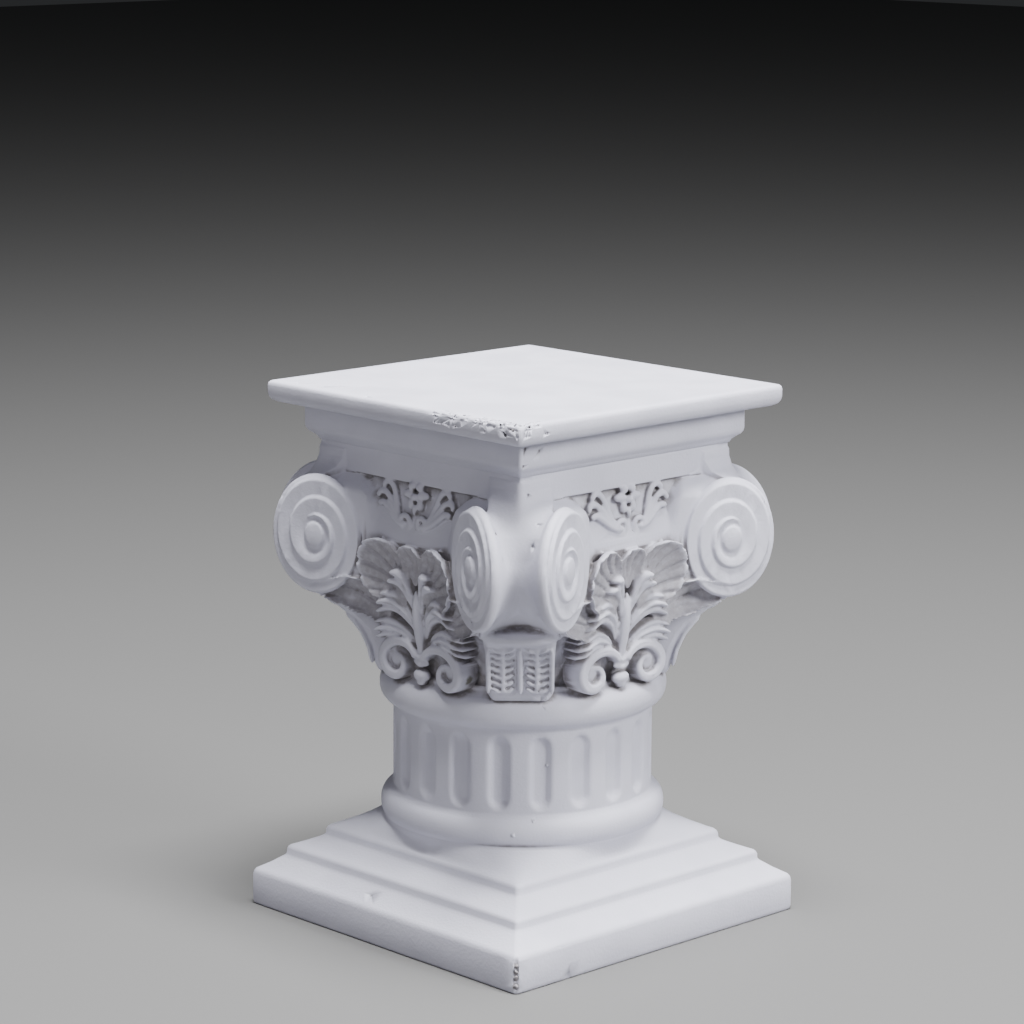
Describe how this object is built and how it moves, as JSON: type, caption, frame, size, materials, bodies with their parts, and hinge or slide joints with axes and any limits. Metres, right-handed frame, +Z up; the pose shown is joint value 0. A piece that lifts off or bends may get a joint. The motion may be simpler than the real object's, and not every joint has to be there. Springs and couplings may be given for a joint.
{
  "type": "column pedestal",
  "caption": "Short square-topped column pedestal in cast resin: stepped plinth, fluted shaft between two rolls, leafy capital with corner volutes and a flat slab to stand things on",
  "frame": {"origin": "middle of the underside of the plinth", "axes": "+Z up, the four faces square to X and Y"},
  "size_m": [0.1588, 0.1588, 0.2197],
  "materials": {
    "cast_resin": "matt cool white cast resin"
  },
  "bodies": {
    "root": {"column_pedestal": "cast_resin"}
  },
  "joints": []
}
